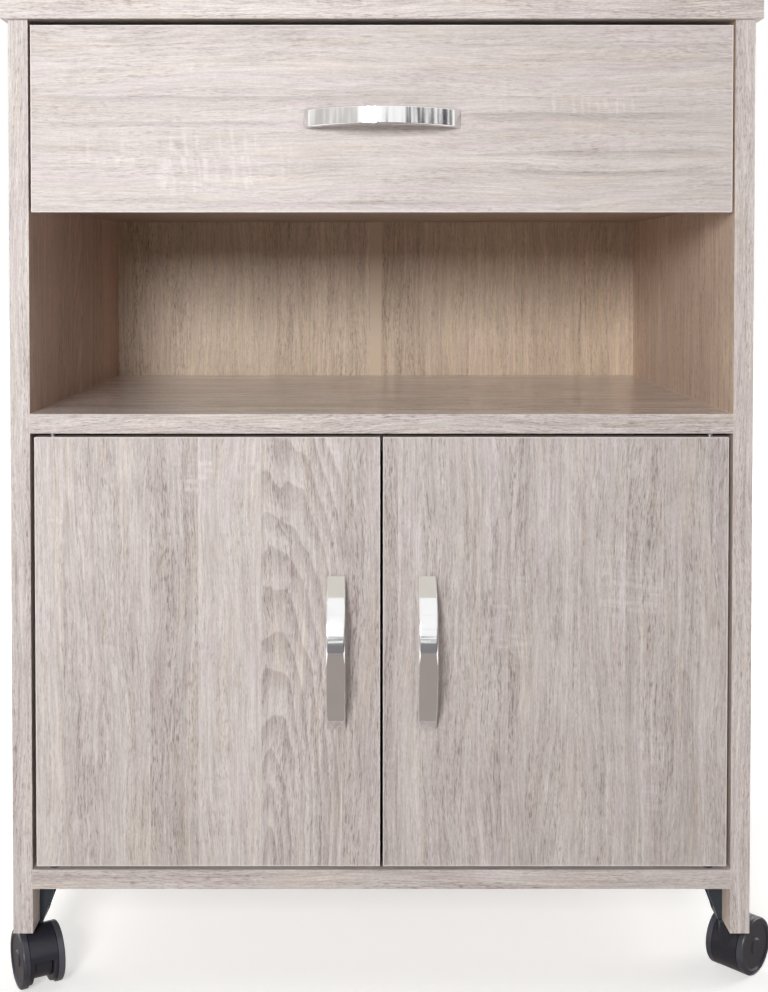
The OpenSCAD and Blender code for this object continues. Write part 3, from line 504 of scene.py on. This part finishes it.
# The first strip is darker: print, and on the left sheet it also paints part of the shade at the left of
# the bay's back wall.
SHEET_STRIPS = (
    (0.16, -0.13, 0.1, 0.5, 0.3), (0.34, -0.02, 0.1, 0.5, 0.7), (0.58, 0.03, 0.1, 0.5, 0.5),
    (0.76, -0.03, 0.1, 0.3, 0.2), (1.0, 0.02, 0.1, 0.6, 0.4))
LEFT_DOOR_TICKS = ((398, 441, -157, -134, 1.0), (356, 388, -270, -252, 0.6))
RIGHT_DOOR_TICKS = ((262, 341, 87, 118, 0.7), (302, 365, 174, 222, 0.7), (142, 214, 206, 226, 0.7))
DRAWER_TICKS = ((-252, -186, 652, 688, 0.45), (-178, -95, 643, 692, 0.9), (-90, -64, 650, 684, 0.4),
                (84, 112, 702, 716, 0.4), (120, 202, 704, 720, 0.9))
DRAWER_MARKS = (
    (-276, 0, 719.0, 9.0, 6.0, 0.16), (-276, -40, 699.0, 9.0, 5.0, 0.12),
    (60, 290, 706.0, 8.0, 7.0, 0.17), (120, 300, 676.0, 9.0, 7.0, 0.15),
    (90, 300, 660.0, 9.0, 6.0, 0.15), (-40, 120, 636.0, 7.0, 5.0, 0.13))

# The bay tints are painted light and shade: darker on the left wall's inner face and the deck's underside,
# lighter on the right wall's inner face and the shelf's top, and warmer except on the shelf.
BOARDS = {
    # the shade values are painted shade: darker copies of one laminate where less light falls
    "top_panel": Board(X, 3),
    "left_side_panel": Board(Z, 5, shade=0.97, painted_bay_light=(X, 1, (0.94, 0.76, 0.66))),
    "right_side_panel": Board(Z, 8, painted_bay_light=(X, -1, (1.26, 1.11, 0.93))),
    "bottom_panel": Board(X, 11, shade=0.92),
    "middle_shelf": Board(X, 14, shade=0.95, contrast=1.25, gloss=0.30, polish=0.16,
                          painted_bay_light=(Z, 1, (1.37, 1.41, 1.39))),
    "drawer_deck": Board(X, 17, painted_bay_light=(Z, -1, (0.66, 0.54, 0.45))),
    "inner_shelf": Board(X, 19),
    "drawer_front": Board(X, 23, DRAWER_STRIPS, DRAWER_TICKS, DRAWER_MARKS, shade=0.94, contrast=0.66),
    "drawer_left_side": Board(Y, 26),
    "drawer_right_side": Board(Y, 29),
    "drawer_back": Board(X, 31),
    "left_door": Board(Z, 34, LEFT_DOOR_STRIPS, LEFT_DOOR_TICKS, shade=0.895, contrast=0.92),
    "right_door": Board(Z, 37, RIGHT_DOOR_STRIPS, RIGHT_DOOR_TICKS, shade=0.85, contrast=0.95),
}
SHEETS = {
    "back_sheet_left": Board(Z, 41, SHEET_STRIPS, light=SHEET_LIGHT, dark=SHEET_DARK, contrast=0.85,
                             raw=True),
    "back_sheet_right": Board(Z, 44, SHEET_STRIPS, light=SHEET_LIGHT, dark=SHEET_DARK, contrast=0.85,
                              raw=True),
    "drawer_floor": Board(X, 47),
}
for kind, group in (("oak_", BOARDS), ("print_", SHEETS)):
    for node, board in group.items():
        dress(Laminate(kind + node, node, board).material, node)

# ----------------------------------------------------- plastics, metals, timber
MOULD_CLOUD_MM, METAL_CLOUD_MM = 30.0, 22.0     # the size of slow changes in tone
MOULD_BUMP, METAL_BUMP = 0.6, 0.3               # how strong the grain's relief is
MOULD_GLOSS, METAL_GLOSS = (0.12, 0.10), (0.08, 0.10)   # shares of both noises in the roughness
METAL_CLOUD = 0.08                              # the large noise's share in a metal's tone
SMALL_NOISE, LARGE_NOISE = (3.0, 0.6), (2.0, 0.5)       # detail and roughness
# a painted highlight on the wheels' outermost edges: its colour and its share
WHEEL_HIGHLIGHT, WHEEL_HIGHLIGHT_SHARE = rgb(118, 120, 130), 0.38
WHEEL_HIGHLIGHT_PATCHES = (0.35, 0.65, 0.25, 1.0)         # the slow noise's range, and the painted highlight's strength there
WHEEL_HIGHLIGHT_DEPTH = (1.8, 0.3)        # mm inside the farthest point where the painted highlight begins and is full


def uneven(mean, small, large, small_share, large_share):
    """A value about its mean that follows a small and a large noise."""
    return small * small_share + large * large_share + (mean - MIDDLE * (small_share + large_share))


def speckled(name, colour, grain_mm, depth, roughness=0.5, bump=0.00008, highlight_edges_of=None, **sockets):
    """A moulded or plain surface with a fine uneven grain and slow changes in tone.

    A named node's outermost edges get a painted highlight, paler in patches."""
    m, g, shader = material(name, **sockets)
    place = [p * MM for p in g.parts(g.coords())]
    small, large = g.grain(place, grain_mm, *SMALL_NOISE), g.grain(place, MOULD_CLOUD_MM, *LARGE_NOISE)
    tone = g.scaled(colour, uneven(1.0, small, large, depth, depth))
    # a painted highlight on the outermost edges
    if highlight_edges_of:
        highlight_patches = g.ease(large, *WHEEL_HIGHLIGHT_PATCHES)
        tone = g.blend(outer_edges(g, highlight_edges_of, place) * highlight_patches * WHEEL_HIGHLIGHT_SHARE, tone, WHEEL_HIGHLIGHT)
    g.put(shader.inputs["Base Color"], tone)
    g.put(shader.inputs["Roughness"], uneven(roughness, small, large, *MOULD_GLOSS))
    g.put(shader.inputs["Normal"], g.bump(small, bump, MOULD_BUMP))
    return m


def outer_edges(g, node, place):
    """1 at the points of a node that lie farthest from its middle."""
    lo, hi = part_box(node)
    centre = (Vector(lo) + Vector(hi)) / 2
    reach = max((v.co - centre).length for v in nodes[node].data.vertices) * MM
    dx, dy, dz = [p - c * MM for p, c in zip(place, centre)]
    away = g.math("SQRT", dx * dx + dy * dy + dz * dz)
    return g.ease(away, reach - WHEEL_HIGHLIGHT_DEPTH[0], reach - WHEEL_HIGHLIGHT_DEPTH[1])


def metal(name, colour, roughness, brushed, streak, bump=0.00002):
    """A metal with a grain of the size brushed, in mm, and slow changes in tone and gloss."""
    m, g, shader = material(name, Metallic=1.0)
    place = [p * MM for p in g.parts(g.coords())]
    small, large = g.grain(place, brushed, *SMALL_NOISE), g.grain(place, METAL_CLOUD_MM, *LARGE_NOISE)
    g.put(shader.inputs["Base Color"], g.scaled(colour, uneven(1.0, small, large, streak, METAL_CLOUD)))
    g.put(shader.inputs["Roughness"], uneven(roughness, small, large, *METAL_GLOSS))
    g.put(shader.inputs["Normal"], g.bump(small, bump, METAL_BUMP))
    return m


SIDES = ("left", "right")
HANDLES = ("drawer_handle", "left_door_handle", "right_door_handle")
CORNERS = ("front_left", "front_right", "rear_left", "rear_right")
DULL = {"Specular_IOR_Level": 0.45}

chrome = metal("chrome", rgb(246, 246, 247), roughness=0.07, brushed=(14.0, 14.0, 14.0), streak=0.02,
               bump=0.000004)
zinc = metal("zinc_plate", rgb(186, 190, 197), roughness=0.34, brushed=(0.5, 9.0, 3.0), streak=0.16)
steel = metal("bare_steel", rgb(172, 174, 178), roughness=0.30, brushed=(0.4, 4.0, 0.4), streak=0.14)
black = speckled("caster_black", rgb(42, 42, 51), grain_mm=0.8, depth=0.22, roughness=0.30,
                 bump=0.00005, **DULL)
grey = speckled("bracket_grey", rgb(56, 62, 68), grain_mm=0.7, depth=0.20, roughness=0.42,
                bump=0.00006, Specular_IOR_Level=0.3)
catch_grey = speckled("catch_grey", rgb(140, 141, 140), grain_mm=0.8, depth=0.10)
nylon = speckled("nylon", rgb(226, 222, 212), grain_mm=0.9, depth=0.06, roughness=0.42,
                 bump=0.00003, Subsurface_Weight=0.05)
beech = speckled("beech", rgb(214, 188, 148), grain_mm=0.5, depth=0.20, roughness=0.6)
strip = speckled("joint_strip", rgb(220, 199, 175), grain_mm=1.4, depth=0.06, bump=0.00003)
cap = speckled("cap_plastic", rgb(204, 194, 186), grain_mm=0.9, depth=0.08)

dress(chrome, *HANDLES)
dress(zinc, "shelf_pins", "carcass_screws", "cam_locks", "cabinet_runners", "drawer_runners",
      "drawer_cams", *[side + "_strike_plate" for side in SIDES])
dress(steel, "back_nails", "catch_magnets", "mounting_screws", "drawer_screws",
      *[side + part for side in SIDES for part in ("_door_pins", "_door_screws")])
dress(cap, "screw_caps")
dress(beech, "wood_dowels")
dress(catch_grey, "magnetic_catch")
dress(grey, "pivot_bushes", "corner_brackets")
dress(strip, "back_joint_strip")
dress(nylon, "caster_sleeves", "cabinet_rollers", "drawer_rollers")
for corner in CORNERS:
    dress(black, corner + "_hood")
    dress(steel, corner + "_pins")
    for wheel in (corner + "_wheel_a", corner + "_wheel_b"):
        # each wheel's own material, with a painted highlight on its outermost edges
        dress(speckled("black_" + wheel, rgb(43, 43, 52), grain_mm=0.6, depth=0.24, roughness=0.32,
                       bump=0.00006, highlight_edges_of=wheel, **DULL), wheel)

# ------------------------------------------------------------- softened edges


def soften(node, width, segments, angle):
    """Round the edges of a node that are sharper than an angle in degrees."""
    bevel = nodes[node].modifiers.new("edge", "BEVEL")
    bevel.width, bevel.segments = width, segments
    bevel.limit_method, bevel.angle_limit = "ANGLE", math.radians(angle)


for node in BOARDS:
    soften(node, width=0.0007, segments=2, angle=60)
for node in HANDLES:
    soften(node, width=0.0010, segments=3, angle=50)

# ------------------------------------------------------------------ the stage
FLOOR_HALF = 14.0               # m from the floor's middle to its sides
FLOOR_GLOW = (0.6, 2.0, 0.50, 1.0)      # near, far in m; the glow's strength there
WORLD_SEEN, WORLD_LIT = 0.93, 0.07      # the world's strength where it shows, and as light


def new_object(name, data):
    thing = bpy.data.objects.new(name, data)
    scene.collection.objects.link(thing)
    return thing


def floor_material():
    """Matt white that brightens, where it is seen, to pure white away from the cart's shadow."""
    m, g, shader = material("floor_white", Roughness=0.8)
    shader.inputs["Base Color"].default_value = rgb(226, 224, 221)
    shader.inputs["Emission Color"].default_value = WHITE
    x, y, _ = g.parts(g.coords())
    away = g.math("SQRT", x * x + y * y)
    g.put(shader.inputs["Emission Strength"], g.seen() * g.ease(away, *FLOOR_GLOW))
    return m


def make_floor():
    mesh = bpy.data.meshes.new("floor")
    grid = bmesh.new()
    bmesh.ops.create_grid(grid, x_segments=8, y_segments=8, size=FLOOR_HALF)
    grid.to_mesh(mesh)
    grid.free()
    mesh.materials.append(floor_material())
    new_object("floor", mesh)


def make_world():
    """White all round where it is seen, and a weak light elsewhere."""
    scene.world = bpy.data.worlds.new("studio")
    scene.world.use_nodes = True
    g = Graph(scene.world.node_tree)
    background = g.nodes["Background"]
    background.inputs["Color"].default_value = WHITE
    g.put(background.inputs["Strength"], g.seen() * WORLD_SEEN + WORLD_LIT)


def lamp(name, at, towards, size, watts, in_mirrors=True):
    """A square lamp of a size in m."""
    data = bpy.data.lights.new(name, "AREA")
    data.shape, data.size, data.size_y = "RECTANGLE", size, size
    data.energy = watts
    thing = new_object(name, data)
    thing.location = at
    thing.rotation_mode = "QUATERNION"
    thing.rotation_quaternion = (Vector(towards) - Vector(at)).to_track_quat("-Z", "Y")
    thing.visible_glossy = in_mirrors


def card(name, corners, colour):
    """A card that only mirrors see, for the tones in the chrome."""
    data = bpy.data.meshes.new(name)
    data.from_pydata(corners, [], [(0, 1, 2, 3)])
    thing = new_object(name, data)
    m, g, shader = material(name, Roughness=1.0, Specular_IOR_Level=0.0, Emission_Strength=1.0)
    shader.inputs["Base Color"].default_value = (0, 0, 0, 1)
    shader.inputs["Emission Color"].default_value = colour
    data.materials.append(m)
    thing.visible_camera = thing.visible_diffuse = thing.visible_shadow = False
    thing.visible_transmission = thing.visible_volume_scatter = False
    return g, shader


def level_card(name, x0, y0, x1, y1, z, colour):
    """A level card between two opposite corners."""
    card(name, [(x0, y0, z), (x1, y0, z), (x1, y1, z), (x0, y1, z)], colour)


DIM = rgb(84, 80, 84)           # the furniture and window bars that the chrome mirrors
BAR_SHARE = 0.16                # how much of DIM the bars show
BARS_ACROSS, BARS_UP = (1.15, 0.37), (0.9, 0.2)     # bars to the metre, and their phase
BAR_EDGE = (0.012, 0.03)        # from a bar's middle to its edge, as a share of the bars' pace
SHAPE_SIZE, SHAPE_OFFSET = 3.5, 7.0     # dim shapes to the metre, and their noise's offset
SHAPE_THINNING = 0.30           # how fast they thin out with each metre of height
SHAPE_EDGE = 0.08               # how soft they are


def window_card(name, a, b, height, colour, dim, low, sparse):
    """A standing card between two floor points, like a bright window or wall of a room.

    Bars divide it. Shapes of the darkness dim, rarer as sparse grows, thin out above the height low."""
    g, shader = card(name, [(*a, 0.0), (*b, 0.0), (*b, height), (*a, height)], colour)
    x, y, z = g.parts(g.coords())
    along = x + y
    from_bars = [g.size(g.math("FRACT", place * pace + phase) - MIDDLE)
                 for place, (pace, phase) in ((along, BARS_ACROSS), (z, BARS_UP))]
    bars = 1.0 - g.ease(g.smaller(*from_bars), *BAR_EDGE)
    place = g.vector(along * SHAPE_SIZE, z * SHAPE_SIZE, SHAPE_OFFSET)
    shapes = g.noise(place, detail=6.0, roughness=0.75)
    shapes = g.ease(shapes - (z - low) * SHAPE_THINNING, sparse, sparse + SHAPE_EDGE)
    share = g.larger(bars * BAR_SHARE, shapes * dim)
    g.put(shader.inputs["Emission Color"], g.blend(share, colour, DIM))


make_floor()
make_world()
lamp("key", (-0.42, -1.95, 0.95), (0.0, 0.0, 0.42), size=0.42, watts=24.3)
lamp("top", (-0.1, -0.3, 2.4), (0.0, 0.0, 0.4), size=1.6, watts=12, in_mirrors=False)
lamp("left_fill", (-2.4, 0.6, 1.1), (0.0, 0.1, 0.4), size=1.4, watts=26)
lamp("right_fill", (2.4, 0.6, 1.1), (0.0, 0.1, 0.4), size=1.4, watts=26)
lamp("back_fill", (0.3, 2.6, 1.2), (0.0, 0.0, 0.4), size=1.4, watts=26)
level_card("card_floor", -0.9, -3.15, 0.9, -0.1, 0.003, rgb(160, 151, 146))
level_card("card_above", -3.0, -1.7, 3.0, 4.0, 2.6, rgb(216, 211, 202))
window_card("card_window", (-1.5, -3.2), (1.5, -3.2), height=3.4, colour=rgb(255, 255, 255),
            dim=0.85, low=0.8, sparse=0.46)
window_card("card_left", (-3.2, -0.3), (-1.5, -3.2), height=3.0, colour=rgb(240, 237, 232),
            dim=0.36, low=1.15, sparse=0.47)
window_card("card_right", (1.5, -3.2), (3.2, -0.3), height=3.0, colour=rgb(244, 243, 241),
            dim=1.0, low=1.15, sparse=0.50)

# ----------------------------------------------------------------- the camera
# Fitted to the photograph's corners. The tilt takes up part of the picture's downward shift.
CAMERA_AT = (-0.0171, -1.2419, 0.5811)
CAMERA_TILT = 1.38              # degrees below level
CAMERA_LENS, CAMERA_SENSOR = 48.49, 36.0
CAMERA_SHIFT = (0.0241, -0.195)

data = bpy.data.cameras.new("camera")
data.lens, data.sensor_width = CAMERA_LENS, CAMERA_SENSOR
data.shift_x, data.shift_y = CAMERA_SHIFT
camera = new_object("camera", data)
camera.location = CAMERA_AT
camera.rotation_euler = (math.radians(90 - CAMERA_TILT), 0, 0)
scene.camera = camera
scene.view_settings.view_transform = "Standard"
